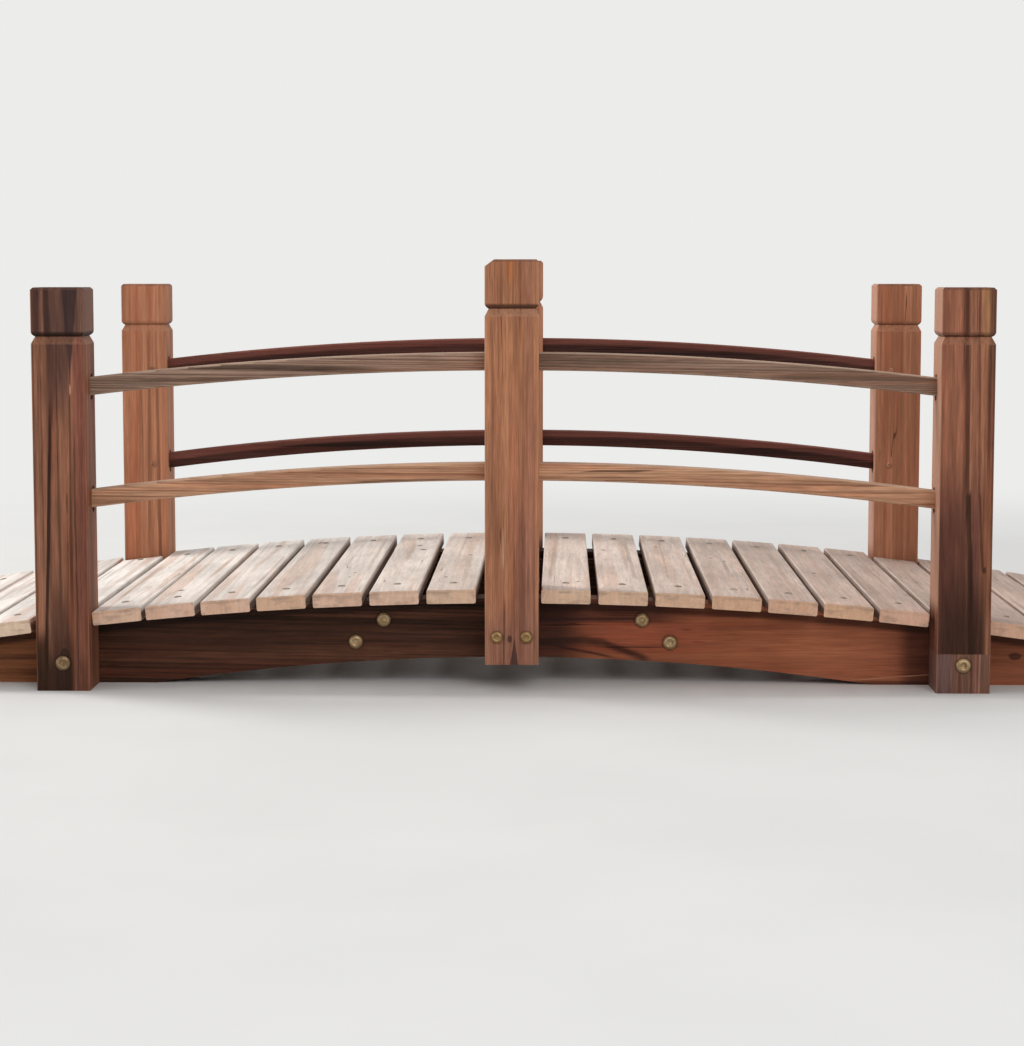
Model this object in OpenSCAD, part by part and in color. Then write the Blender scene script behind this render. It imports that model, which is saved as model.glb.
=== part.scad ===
// Low arched timber footbridge for a garden, with posts and curved rails on both sides.
// Sizes are in millimetres. X runs along the walkway, Y across it and Z up.
// The origin is on the ground, under the middle of the walkway.

/* [Posts] */
// Distance along the walkway between the middles of neighbouring posts
post_spacing = 520; // [460:5:620]
// Width of the bridge over the outer faces of its posts
bridge_width = 670; // [580:10:860]
// Side of the square section of a post
post_side = 62; // [56:1:70]
// Length of each post
post_length = 466; // [440:2:560]
// Radius of the eased long edges of a post
post_edge_r = 2; // [1:0.5:4]
// Bevel along the four top edges of a post
post_top_bevel = 3; // [1:0.5:6]
// Width of the corner knocked off the middle post at the front
chip_w = 11; // [6:0.5:14]
// Height of the corner knocked off the middle post at the front
chip_h = 8; // [5:0.5:14]

/* [Groove round the posts] */
// Distance from the top of a post down to the bottom of its groove
groove_drop = 56; // [40:1:70]
// Depth of the groove
groove_depth = 4.6; // [2:0.2:6]
// Height of the rounded shoulder above the bottom of the groove
groove_roll_h = 7; // [6.5:0.5:12]
// Height of the chamfer below the bottom of the groove
groove_chamfer_h = 9; // [5:0.5:14]

/* [Stringers] */
// Thickness of a stringer
stringer_thick = 40; // [30:1:55]
// Height of the stringers' top edge at mid-span
deck_crown = 101.5; // [92:0.5:120]
// Radius of the stringers' top edge
deck_radius = 4340; // [4000:20:6000]
// Height of the stringers' underside at mid-span
arch_rise = 32; // [22:1:40]
// Distance from mid-span to where the underside comes down to the ground
arch_reach = 422; // [360:2:470]
// Gap between the two halves of a stringer
butt_gap = 1; // [0.5:0.5:4]
// Length of a stringer past the last board
end_margin = 6; // [2:1:20]

/* [Splice plates] */
// Length of the plate behind the joint of two stringer halves
splice_length = 420; // [300:5:500]
// Height of a splice plate
splice_height = 50; // [36:1:52]
// Thickness of a splice plate
splice_thick = 20; // [12:1:30]

/* [Deck] */
// Number of board places from one post to the next
boards_per_bay = 8; // [6:1:9]
// Number of boards past each end post
boards_past_post = 3; // [2:1:3]
// Gap between neighbouring boards
board_gap = 8; // [4:0.5:11]
// Shift of the boards along the walkway, as a share of the gap between them
deck_shift = -0.5; // [-0.6:0.1:0.6]
// Sway of the boards' places within a bay, as a share of the gap between them
deck_sway = 0.4; // [0:0.1:0.6]
// Least gap between a post and the board beside it
post_gap = 0.5; // [0.4:0.1:1]
// Thickness of a board
board_thick = 16; // [12:0.5:22]
// Radius of the eased long edges of a board
board_edge_r = 2; // [1:0.5:4]
// Distance from a post's outer face back to the end of a board
board_setback = 15; // [5:1:35]
// Gap between the end of a short board and the post beside it
short_board_gap = 3; // [1:0.5:8]
// Seat of the boards above the stringers
seat_gap = 0.1; // [0.1:0.1:0.3]

/* [Rails] */
// Height of a rail
rail_height = 21; // [16:1:28]
// Thickness of a rail
rail_thick = 20; // [17:1:24]
// Radius of the eased long edges of a rail
rail_edge_r = 2.5; // [1:0.5:4]
// Distance from a post's outer face back to the face of a rail
rail_setback = 30; // [14:1:34]
// Top of the upper rail at mid-span
upper_rail_top = 391.5; // [370:0.5:410]
// Fall of the upper rail from mid-span to the end post
upper_rail_drop = 29; // [18:1:40]
// Top of the lower rail at mid-span
lower_rail_top = 264; // [240:1:290]
// Fall of the lower rail from mid-span to the end post
lower_rail_drop = 32; // [18:1:40]

/* [Mortise and tenon] */
// Thickness of the tenon at the end of a rail
tenon_thick = 14; // [10:0.5:15]
// Length of the tenon
tenon_length = 18; // [10:0.5:22]
// Radius of the eased long edges of the tenon
tenon_edge_r = 2; // [2:0.5:4]
// Clearance beside the tenon
tenon_clear = 0.3; // [0.2:0.1:0.6]
// Reach of the mortise above and below the tenon
mortise_reach = 5; // [4:0.5:9]
// Clearance past the end of the tenon
mortise_end_clear = 2; // [1:0.5:4]

/* [Hidden] */
// Overshoot of a cutting shape past the surface that it cuts
over = 1;
// Smoothness of the long arcs and of the small rounds
$fn = 96;
arc_fn = 720;

front = -1;
rear = 1;
post_y = (bridge_width - post_side) / 2;
post_inner_y = bridge_width / 2 - post_side;
stringer_y = post_inner_y - stringer_thick / 2;
splice_y = post_inner_y - stringer_thick - splice_thick / 2;
rail_y = bridge_width / 2 - rail_setback - rail_thick / 2;

// Radius of the convex shoulder that runs from the post's face to the bottom of the groove
groove_roll_r = (pow(groove_roll_h, 2) + pow(groove_depth, 2)) / (2 * groove_depth);
arch_radius = (pow(arch_reach, 2) + pow(arch_rise, 2)) / (2 * arch_rise);

// The board places divide the angle between two posts, seen from the centre of the deck's arc
board_angle = asin(post_spacing / deck_radius) / boards_per_bay;
board_width = post_spacing / boards_per_bay - board_gap;
board_axis_r = deck_radius + seat_gap + board_thick / 2;
board_length = bridge_width - 2 * board_setback;
short_board_length = 2 * (post_inner_y - short_board_gap);
last_board = boards_per_bay + boards_past_post;
board_count = 2 * last_board + 1;
end_angle = last_board * board_angle;
deck_reach = (deck_radius + board_thick) * sin(end_angle) + board_width / 2 * cos(end_angle);
half_length = deck_reach + end_margin;

// Each rail is straight across and falls along one arc from mid-span to the end post
rail_start = post_side / 2;
rail_end = post_spacing - post_side / 2;
mortise_width = tenon_thick + 2 * tenon_clear;
mortise_height = rail_height + 2 * mortise_reach;
mortise_depth = tenon_length + mortise_end_clear;

sides = [["front", front], ["rear", rear]];
post_places = [["left", -1], ["mid", 0], ["right", 1]];
halves = [["left", -1], ["right", 1]];
levels = [
    ["upper", upper_rail_top, upper_rail_drop],
    ["lower", lower_rail_top, lower_rail_drop]
];

function rail_radius(drop) = (pow(rail_end, 2) + pow(drop, 2)) / (2 * drop);
function arc_height(x, crown, radius) = crown - radius + sqrt(pow(radius, 2) - pow(x, 2));
function angle_at(x, radius) = asin(x / radius);
function two_digits(n) = str(n < 10 ? "0" : "", n);

function post_name(side, place) = str("post_", side[0], "_", place[0]);
function stringer_name(side, half) = str("stringer_", side[0], "_", half[0]);
function splice_name(side) = str("splice_", side[0]);
function rail_name(level, side, half) = str(level[0], "_rail_", side[0], "_", half[0]);
function board_name(i) = str("deck_board_", two_digits(i + last_board + 1));

// The boards are laid by eye and so not quite evenly, and a full one stays clear of the post
// that it is next to. The direction to that post is 0 for a short board behind it.
function nearest_post(i) = round(i / boards_per_bay);
function to_post(i) = sign(nearest_post(i) * boards_per_bay - i);
function board_reach(i) = (board_width / 2 - board_edge_r) * cos(i * board_angle)
    + (board_thick / 2 - board_edge_r) * abs(sin(i * board_angle)) + board_edge_r;
function post_room(i) =
    abs(nearest_post(i) * post_spacing - board_axis_r * sin(i * board_angle))
    - post_side / 2 - board_reach(i) - post_gap;
function laid_shift(i) =
    board_gap * (deck_shift + deck_sway * sin(180 * i / boards_per_bay));
function board_shift(i) = to_post(i) == 0
    ? laid_shift(i)
    : to_post(i) * min(to_post(i) * laid_shift(i), post_room(i));

// A rectangle about the origin with rounded corners
module eased_rectangle(width, height, r) {
    square([width - 2 * r, height], center = true);
    square([width, height - 2 * r], center = true);
    for (x = [-1, 1])
        for (y = [-1, 1])
            translate([x * (width / 2 - r), y * (height / 2 - r)])
                circle(r = r);
}

// A stretch of a curved bar between two values of x, with the arc's top at the given height
module curved_bar(x0, x1, crown, radius, height, thick, edge_r) {
    a0 = angle_at(x0, radius) - board_angle;
    a1 = angle_at(x1, radius) + board_angle;
    intersection() {
        translate([0, 0, crown - radius])
            rotate([90, 0, 0])
                rotate([0, 0, 90 - a1])
                    rotate_extrude(angle = a1 - a0, $fn = arc_fn)
                        translate([radius - height / 2, 0])
                            eased_rectangle(height, thick, edge_r, $fn = 48);
        translate([x0, -thick, 0])
            cube([x1 - x0, 2 * thick, crown + over]);
    }
}

// The groove's section: x is measured outwards from the post's face, y upwards from its bottom
module groove_section() {
    polygon([
        [0, -groove_chamfer_h],
        [-groove_depth, 0],
        [over, 0],
        [over, -groove_chamfer_h]
    ]);
    difference() {
        translate([-groove_depth, 0])
            square([groove_depth + over, groove_roll_h]);
        translate([-groove_roll_r, groove_roll_h])
            circle(r = groove_roll_r);
    }
}

// One side of the groove and one top bevel, cut into the face at +X
module face_cuts() {
    cut_width = post_side + 2 * over;
    translate([post_side / 2, 0, post_length - groove_drop])
        rotate([90, 0, 0])
            linear_extrude(cut_width, center = true)
                groove_section();
    translate([post_side / 2, 0, post_length])
        rotate([90, 0, 0])
            linear_extrude(cut_width, center = true)
                polygon([
                    [over, -post_top_bevel - over],
                    [over, over],
                    [-post_top_bevel - over, over]
                ]);
}

// A post standing on the origin, before its mortises are cut
module post_blank() {
    difference() {
        linear_extrude(post_length)
            eased_rectangle(post_side, post_side, post_edge_r);
        for (quarter = [0 : 3])
            rotate([0, 0, 90 * quarter])
                face_cuts();
    }
}

// The corner knocked off a post's top, on the side at -X
module knocked_corner() {
    translate([-post_side / 2, 0, post_length])
        rotate([90, 0, 0])
            linear_extrude(post_side + 2 * over, center = true)
                polygon([
                    [-over, over],
                    [chip_w, over],
                    [chip_w, 0],
                    [0, -chip_h],
                    [-over, -chip_h]
                ]);
}

// A mortise with round ends, cut inwards from a post's face towards the given direction
module mortise(face_x, direction, level) {
    r = mortise_width / 2;
    reach = mortise_height / 2 - r;
    middle = face_x + direction * tenon_length / 2;
    axis_z = arc_height(middle, level[1], rail_radius(level[2])) - rail_height / 2;
    translate([face_x - direction * over, 0, axis_z])
        rotate([0, direction * 90, 0]) {
            for (end = [-1, 1])
                translate([end * reach, 0, 0])
                    cylinder(r = r, h = mortise_depth + over);
            translate([-reach, -r, 0])
                cube([2 * reach, mortise_width, mortise_depth + over]);
        }
}

module post(side, place) {
    shade = place[1] == 0 ? "#8c5c45" : "#5f3d2e";
    foot_z = place[1] == 0 ? arch_rise : 0;
    color(shade)
        difference() {
            translate([place[1] * post_spacing, side[1] * post_y, foot_z]) {
                difference() {
                    post_blank();
                    if (place[1] == 0 && side[1] == front)
                        knocked_corner();
                }
            }
            for (v = levels)
                translate([0, side[1] * rail_y, 0])
                    if (place[1] == 0) {
                        mortise(rail_start, -1, v);
                        mirror([1, 0, 0])
                            mortise(rail_start, -1, v);
                    } else {
                        mirror([place[1] < 0 ? 1 : 0, 0, 0])
                            mortise(rail_end, 1, v);
                    }
        }
}

// The side view of a whole stringer: a flat-footed arch under a shallow curve
module stringer_outline() {
    difference() {
        intersection() {
            translate([0, deck_crown - deck_radius])
                circle(r = deck_radius, $fn = arc_fn);
            translate([-half_length, 0])
                square([2 * half_length, deck_crown + over]);
        }
        translate([0, arch_rise - arch_radius])
            circle(r = arch_radius, $fn = arc_fn);
    }
}

module stringer(side, half) {
    shade = half[1] < 0 ? "#4f3226" : "#6e3f30";
    color(shade)
        translate([0, side[1] * stringer_y, 0])
            rotate([90, 0, 0])
                linear_extrude(stringer_thick, center = true)
                    intersection() {
                        stringer_outline();
                        mirror([half[1] < 0 ? 1 : 0, 0])
                            translate([butt_gap / 2, 0])
                                square([half_length, deck_crown + over]);
                    }
}

module splice(side) {
    color("#573629")
        translate([0, side[1] * splice_y, (arch_rise + deck_crown) / 2])
            cube([splice_length, splice_thick, splice_height], center = true);
}

// The boards behind the posts are cut short so that they fit between them
module deck_board(i) {
    length = to_post(i) == 0 ? short_board_length : board_length;
    shift_angle = board_shift(i) / board_axis_r * 180 / PI;
    color("#cdb39c")
        translate([0, 0, deck_crown - deck_radius])
            rotate([0, i * board_angle + shift_angle, 0])
                translate([0, 0, board_axis_r])
                    rotate([90, 0, 0])
                        linear_extrude(length, center = true)
                            eased_rectangle(board_width, board_thick, board_edge_r);
}

module rail(level, side, half) {
    radius = rail_radius(level[2]);
    color("#5a3f33")
        translate([0, side[1] * rail_y, 0])
            mirror([half[1] < 0 ? 1 : 0, 0, 0]) {
                curved_bar(rail_start, rail_end,
                    level[1], radius, rail_height, rail_thick, rail_edge_r);
                curved_bar(rail_start - tenon_length, rail_end + tenon_length,
                    level[1], radius, rail_height, tenon_thick, tenon_edge_r);
            }
}

for (s = sides)
    for (p = post_places)
        post(s, p);

for (s = sides)
    for (h = halves)
        stringer(s, h);

for (s = sides)
    splice(s);

for (i = [-last_board : last_board])
    deck_board(i);

for (v = levels)
    for (s = sides)
        for (h = halves)
            rail(v, s, h);
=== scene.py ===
"""The looks of an arched timber garden footbridge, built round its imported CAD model.

The CAD pieces keep their shapes and get solid wood materials: growth rings round a pith
line that lies along each piece, so that faces, edges and end grain agree with each other.
Bolts, nuts and screws are added here as meshes.
"""

import math
import random
from typing import NamedTuple

import bmesh
import bpy
from mathutils import Euler, Matrix, Vector


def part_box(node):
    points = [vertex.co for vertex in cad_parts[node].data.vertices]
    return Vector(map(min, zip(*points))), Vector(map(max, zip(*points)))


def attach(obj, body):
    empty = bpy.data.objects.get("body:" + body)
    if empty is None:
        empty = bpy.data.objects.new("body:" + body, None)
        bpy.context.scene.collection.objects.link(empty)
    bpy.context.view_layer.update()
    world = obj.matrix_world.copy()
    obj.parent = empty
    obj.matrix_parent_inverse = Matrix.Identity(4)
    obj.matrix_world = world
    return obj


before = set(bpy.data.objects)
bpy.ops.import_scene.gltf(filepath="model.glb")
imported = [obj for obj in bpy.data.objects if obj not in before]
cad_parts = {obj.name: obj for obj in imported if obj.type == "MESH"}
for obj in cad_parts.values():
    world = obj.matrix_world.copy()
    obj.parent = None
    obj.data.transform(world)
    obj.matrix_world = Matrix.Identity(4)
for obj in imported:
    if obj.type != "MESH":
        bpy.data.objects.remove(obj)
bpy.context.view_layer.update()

MM = 0.001
SEED = 41
UP = Vector((0, 0, 1))
# The specular level of wood and paper
SHINE = 0.1


def draws_for(name):
    """Random draws that are the same for a name each time."""
    return random.Random(f"{SEED} {name}")


def srgb(red, green, blue):
    """A linear colour from the red, green and blue of an 8-bit picture."""
    def linear(value):
        value /= 255
        return value / 12.92 if value <= 0.04045 else ((value + 0.055) / 1.055) ** 2.4
    return (linear(red), linear(green), linear(blue), 1.0)


class Graph:
    """Adds shader nodes to one material or world and joins them."""

    def __init__(self, owner):
        owner.use_nodes = True
        self.owner = owner
        self.tree = owner.node_tree
        self.tree.nodes.clear()

    def add(self, kind, inputs=None, **settings):
        node = self.tree.nodes.new(f"ShaderNode{kind}")
        for key, value in settings.items():
            setattr(node, key, value)
        for key, value in (inputs or {}).items():
            self.feed(node.inputs[key], value)
        return node

    def feed(self, socket, value):
        if isinstance(value, bpy.types.NodeSocket):
            self.tree.links.new(value, socket)
        else:
            socket.default_value = value

    def math(self, operation, a, b=0.0, c=0.0, clamp=False):
        node = self.add("Math", {0: a, 1: b, 2: c}, operation=operation)
        node.use_clamp = clamp
        return node.outputs[0]

    def times(self, a, b, clamp=False):
        return self.math("MULTIPLY", a, b, clamp=clamp)

    def minus(self, a, b):
        return self.math("SUBTRACT", a, b)

    def times_plus(self, a, b, c):
        """a times b plus c."""
        return self.math("MULTIPLY_ADD", a, b, c)

    def vector(self, operation, a, b=(0, 0, 0), c=(0, 0, 0), scale=1.0):
        node = self.add("VectorMath", {0: a, 1: b, 2: c, 3: scale}, operation=operation)
        return node.outputs["Value" if operation == "LENGTH" else "Vector"]

    def split(self, vector):
        return self.add("SeparateXYZ", {0: vector}).outputs

    def where(self):
        return self.add("TexCoord").outputs["Object"]

    def ramp(self, value, low, high, to_low=0.0, to_high=1.0):
        """A smooth step of value from low to high."""
        inputs = {"Value": value, "From Min": low, "From Max": high, "To Min": to_low, "To Max": to_high}
        return self.add("MapRange", inputs, interpolation_type="SMOOTHSTEP").outputs[0]

    def noise(self, vector, detail=2.0, rough=0.5, colour=False):
        inputs = {"Vector": vector, "Scale": 1.0, "Detail": detail, "Roughness": rough}
        return self.add("TexNoise", inputs).outputs["Color" if colour else "Fac"]

    def noise_line(self, value, detail=1.0):
        inputs = {"W": value, "Scale": 1.0, "Detail": detail, "Roughness": 0.5}
        return self.add("TexNoise", inputs, noise_dimensions="1D").outputs["Fac"]

    def mix(self, factor, a, b, blend="MIX"):
        node = self.add("Mix", data_type="RGBA", blend_type=blend)
        self.feed(node.inputs[0], factor)
        self.feed(node.inputs[6], a)
        self.feed(node.inputs[7], b)
        return node.outputs[2]

    def tint(self, factor):
        """A grey colour from a number, to multiply a colour by."""
        return self.add("CombineColor", {0: factor, 1: factor, 2: factor}).outputs[0]

    def seen(self):
        """1 for what the camera sees, directly or in a reflection, and 0 for light on the rest."""
        path = self.add("LightPath").outputs
        return self.math("MAXIMUM", path["Is Camera Ray"], path["Is Glossy Ray"])

    def surface(self, shader):
        self.add("OutputMaterial", {"Surface": shader})
        return self.owner


# Wood

class Look(NamedTuple):
    """The colours and the grain of one kind of piece, with lengths in millimetres.

    end is the colour of end grain, worn that of rubbed edges, and side that of the painted shade on
    a board's long sides. The painted sunlight is a colour laid on the side that local Z points to, from
    its starting place on along the piece. The painted crest gives a rail a lit upper third with painted
    shade below it.
    """
    light: tuple
    mid: tuple
    red: tuple
    dark: tuple
    char: tuple
    end: tuple
    worn: tuple
    ring_pitch: float
    ring_contrast: float
    char_amount: float
    end_amount: float = 0.5
    side: tuple = ()
    two_tone: bool = False
    faded: tuple = ()
    faded_from: float = -2000.0
    groove_amount: float = 0.85
    grain: float = 1.0
    wear: float = 0.4
    warp: float = 4.0
    relief: float = 0.35


class Streak(NamedTuple):
    """A wavy band along the grain, at a distance from the piece's middle line.

    axis 1 or 2 is the local direction across the grain in which offset is measured. Its
    half width is half + grow * place along the piece, and it fades at start and end.
    """
    offset: float
    half: float
    colour: tuple
    strength: float
    slope: float = 0.0
    grow: float = 0.0
    start: float = -2000.0
    end: float = 2000.0
    fade: float = 20.0
    soft: float = 1.0
    wave: float = 1.2
    axis: int = 2


def look_of(**fields):
    """A look whose colours are given in 8-bit values."""
    for key, value in fields.items():
        if isinstance(value, tuple):
            fields[key] = srgb(*value)
    return Look(**fields)


def band(offset, half, rgb, strength, **limits):
    """A streak whose colour is given in 8-bit values."""
    return Streak(offset, half, srgb(*rgb), strength, **limits)


# The painted sunlight on the posts' sides towards the left begins here and goes up, in millimetres from a
# post's middle
PAINTED_SUNLIT_FROM = -143.0
END_POST = look_of(
    light=(152, 102, 78), mid=(117, 76, 58), red=(142, 80, 58), dark=(70, 42, 31),
    char=(34, 22, 17), end=(84, 54, 41), worn=(164, 116, 90), ring_pitch=8.0,
    ring_contrast=0.5, char_amount=0.5, faded=(176, 126, 100), faded_from=PAINTED_SUNLIT_FROM, wear=0.4)
MID_POST = look_of(
    light=(180, 124, 92), mid=(161, 107, 79), red=(168, 107, 80), dark=(114, 71, 52),
    char=(70, 44, 32), end=(108, 72, 54), worn=(194, 148, 120), ring_pitch=3.6,
    ring_contrast=0.26, char_amount=0.15, faded=(206, 158, 130), faded_from=PAINTED_SUNLIT_FROM, wear=0.35)
RIGHT_POST = END_POST._replace(ring_contrast=0.3, faded=srgb(208, 160, 134), groove_amount=0.45)
# The rear posts are lighter than the front ones: painted light for their sunlit look
REAR_POST_PAINTED_LIGHT = look_of(
    light=(188, 130, 99), mid=(160, 106, 79), red=(176, 106, 77), dark=(108, 68, 50),
    char=(62, 40, 31), end=(104, 68, 52), worn=(188, 134, 104), ring_pitch=7.0,
    ring_contrast=0.18, char_amount=0.1, faded=(210, 162, 138), faded_from=PAINTED_SUNLIT_FROM, wear=0.3,
    groove_amount=0.2, grain=0.6)
STRINGER_DARK = look_of(
    light=(92, 58, 43), mid=(68, 43, 31), red=(88, 49, 35), dark=(42, 26, 19),
    char=(28, 18, 14), end=(58, 38, 29), worn=(116, 80, 61), ring_pitch=5.0,
    ring_contrast=0.75, char_amount=0.6, wear=0.3, warp=7.0)
STRINGER_RED = look_of(
    light=(160, 95, 67), mid=(136, 77, 54), red=(148, 75, 51), dark=(88, 47, 34),
    char=(42, 24, 19), end=(88, 52, 39), worn=(158, 104, 80), ring_pitch=14.0,
    ring_contrast=0.3, char_amount=0.2, wear=0.3, warp=10.0, grain=0.65)
UPPER_RAIL = look_of(
    light=(162, 133, 115), mid=(134, 107, 91), red=(148, 108, 88), dark=(90, 64, 52),
    char=(58, 40, 32), end=(110, 80, 64), worn=(182, 154, 134), ring_pitch=2.8,
    ring_contrast=0.75, char_amount=0.2, faded=(182, 154, 134), wear=0.6, relief=0.5)
LOWER_RAIL = look_of(
    light=(206, 157, 124), mid=(178, 131, 102), red=(190, 128, 97), dark=(118, 80, 61),
    char=(72, 50, 39), end=(124, 88, 68), worn=(210, 172, 144), ring_pitch=2.8,
    ring_contrast=0.7, char_amount=0.2, faded=(182, 154, 134), wear=0.6, relief=0.5)
# The rear rails are darker than the front ones: painted shade on their backlit fronts, with a painted lit
# crest
REAR_RAIL_PAINTED_SHADE = look_of(
    light=(114, 68, 59), mid=(88, 52, 45), red=(112, 58, 49), dark=(54, 32, 27),
    char=(30, 18, 15), end=(60, 38, 32), worn=(176, 92, 68), ring_pitch=2.8,
    ring_contrast=0.6, char_amount=0.3, faded=(132, 84, 72), wear=0.3, relief=0.5,
    two_tone=True)
# A board's side colour is painted shade in the gaps between the boards
BOARD = look_of(
    light=(221, 206, 194), mid=(207, 189, 176), red=(212, 183, 165), dark=(166, 139, 121),
    char=(118, 90, 73), end=(222, 173, 146), worn=(236, 224, 213), ring_pitch=4.5,
    ring_contrast=0.25, char_amount=0.08, end_amount=0.78, side=(112, 88, 74), wear=0.5, warp=2.2,
    grain=0.7)
SPLICE = look_of(
    light=(110, 77, 60), mid=(90, 59, 45), red=(98, 60, 45), dark=(56, 36, 28),
    char=(38, 25, 20), end=(68, 46, 36), worn=(134, 100, 82), ring_pitch=6.0,
    ring_contrast=0.6, char_amount=0.4)
KNOT_BROWN = srgb(58, 36, 29)
# The near-white of painted sunlight on the deck's left end
PAINTED_SUN_WHITE = srgb(242, 236, 230)
FRESH = srgb(206, 166, 150)
HONEY = srgb(214, 168, 126)
PALE_END = srgb(226, 196, 164)
# How far down its sides a deck board is as light as its top, above the painted shade, in millimetres
LIGHT_EDGE = 4.8
# The groove round a post, in millimetres: how far its bottom lies under the top, the roll over it
# and the slope under it
GROOVE_DROP, GROOVE_ROLL, GROOVE_SLOPE = 56.0, 7.0, 9.0


def mixed(first, second, share):
    """A colour between two others."""
    return tuple(a + (b - a) * share for a, b in zip(first, second))


class Place(NamedTuple):
    """Where a piece lies: its middle, the direction of its grain and its upward side."""
    centre: Vector
    along: tuple
    upward: tuple

    def turn(self):
        """The rotation whose local X is the grain and whose local Z is towards upward."""
        x = Vector(self.along).normalized()
        z = (Vector(self.upward) - Vector(self.upward).dot(x) * x).normalized()
        return Matrix((x, z.cross(x), z)).transposed().to_euler("XYZ")


class Timber(Graph):
    """Solid wood, built up in steps that each change the colour and the relief."""

    def __init__(self, name, look, place):
        super().__init__(bpy.data.materials.new(name))
        self.look = look
        rng = draws_for(name)
        self.seed = Vector([rng.uniform(-4000, 4000) for _ in range(3)])
        turn = place.turn()
        spot = {"Vector": self.where(), "Location": place.centre, "Rotation": turn, "Scale": (MM, MM, MM)}
        self.point = self.add("Mapping", spot, vector_type="TEXTURE").outputs[0]
        facing = {"Vector": self.add("NewGeometry").outputs["Normal"], "Rotation": turn}
        normal = self.add("Mapping", facing, vector_type="TEXTURE").outputs[0]
        self.towards = self.split(normal)
        self.facing = self.split(self.vector("ABSOLUTE", normal))
        self.parts = self.split(self.point)
        self.drift = self.vector("ADD", self.point, tuple(self.seed))
        self.fibre = self.stretched(30, 0.8, detail=3.0, rough=0.65)
        self.strand = self.stretched(110, 2.4, detail=2.0, rough=0.6)

    def stretched(self, along, across, **noise):
        """Noise in features so many millimetres long and wide."""
        return self.noise(self.vector("MULTIPLY", self.drift, (1 / along, 1 / across, 1 / across)), **noise)

    def blend(self, cover, colour, share=None):
        """Lays a colour over the wood, as strongly as cover, or as cover times share."""
        if share is not None:
            cover = self.times(cover, share)
        self.colour = self.mix(cover, self.colour, colour)

    def shade(self, amount, factor):
        """Multiplies the colour by a number."""
        self.colour = self.mix(amount, self.colour, self.tint(factor), "MULTIPLY")

    def ground(self):
        """Long columns of lighter, darker and redder wood."""
        columns = self.stretched(700, 12, detail=2.0)
        self.colour = self.mix(self.ramp(columns, 0.38, 0.62), self.look.light, self.look.mid)
        redder = self.ramp(self.stretched(500, 16, detail=1.0), 0.5, 0.66)
        self.blend(redder, self.look.red, 0.6)

    def rings(self, pith, tilt, knots):
        """Growth rings round a pith line, pushed aside by the knots."""
        look = self.look
        bend = self.stretched(600, 60, detail=1.5, colour=True)
        bend = self.vector("SUBTRACT", bend, (0.5, 0.5, 0.5))
        bent = self.vector("MULTIPLY_ADD", bend, (0, look.warp * 2, look.warp * 2), self.point)
        slope = self.vector("SCALE", (0, tilt[0], tilt[1]), scale=self.parts[0])
        from_pith = self.vector("SUBTRACT", self.vector("SUBTRACT", bent, slope), (0, pith[0], pith[1]))
        radius = self.vector("LENGTH", self.vector("MULTIPLY", from_pith, (0, 1, 1)))
        for place, size, through in knots:
            radius = self.times_plus(self.knot_bell(place, size, through), 1.6 * size, radius)
        uneven = self.noise_line(self.times_plus(radius, 1 / (3.5 * look.ring_pitch), self.seed.x))
        phase = self.times_plus(uneven, 1.8, self.math("DIVIDE", radius, look.ring_pitch))
        ring = self.math("ADD", self.math("FLOOR", phase), self.seed.y)
        strength = self.add("TexWhiteNoise", {"W": ring}, noise_dimensions="1D").outputs["Value"]
        part = self.math("FRACT", phase)
        late = self.times(self.ramp(part, 0.35, 0.88), self.ramp(part, 1.0, 0.93))
        self.line = self.times(late, self.times_plus(strength, 0.75, 0.25))
        self.blend(self.line, look.dark, look.ring_contrast)

    def knot_reach(self, place, size, through):
        """The distance from a knot's core in knot sizes. Knots are long along the grain."""
        squeeze = [1 / (1.7 * size), 1 / size, 1 / size]
        squeeze[through] = 0.0
        away = self.vector("SUBTRACT", self.point, tuple(place))
        return self.vector("LENGTH", self.vector("MULTIPLY", away, tuple(squeeze)))

    def knot_bell(self, place, size, through):
        reach = self.knot_reach(place, size, through)
        return self.math("EXPONENT", self.times(self.math("POWER", reach, 2.0), -0.35))

    def knots(self, knots):
        """Dark cores with a darker rim."""
        for place, size, through in knots:
            reach = self.times_plus(self.strand, 0.5, self.knot_reach(place, size, through))
            self.blend(self.ramp(reach, 1.35, 0.9), KNOT_BROWN, 0.75)
            rim = self.times(self.ramp(reach, 1.5, 1.2), self.ramp(reach, 0.9, 1.15))
            self.blend(rim, self.look.char, 0.6)

    def scorch(self):
        """Charred lines along the grain, as torched boards have them."""
        narrow = self.stretched(520, 6.5, detail=2.0, rough=0.6)
        self.blend(self.ramp(narrow, 0.56, 0.68), self.look.char, self.look.char_amount)

    def streak(self, mark, number):
        """One band along the grain."""
        along, across = self.parts[0], self.parts[mark.axis]
        wobble = self.noise_line(self.times_plus(along, 1 / 130, 7.3 * number + self.seed.z), 2.0)
        middle = self.times_plus(wobble, 2 * mark.wave, mark.offset - mark.wave)
        middle = self.times_plus(along, mark.slope, middle)
        half = self.times_plus(along, mark.grow, mark.half)
        rough_edge = self.times_plus(self.fibre, 1.6, -0.8)
        away = self.math("ABSOLUTE", self.minus(across, middle))
        inside = self.minus(half, self.math("ADD", away, rough_edge))
        cover = self.ramp(inside, -mark.soft, mark.soft)
        begins = self.ramp(along, mark.start - mark.fade, mark.start + mark.fade)
        ends = self.ramp(along, mark.end + mark.fade, mark.end - mark.fade)
        cover = self.times(cover, self.times(begins, ends))
        grainy = self.times_plus(self.strand, 0.5, 0.75 * mark.strength - 0.1)
        self.blend(self.times(cover, grainy, clamp=True), mark.colour)

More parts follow.
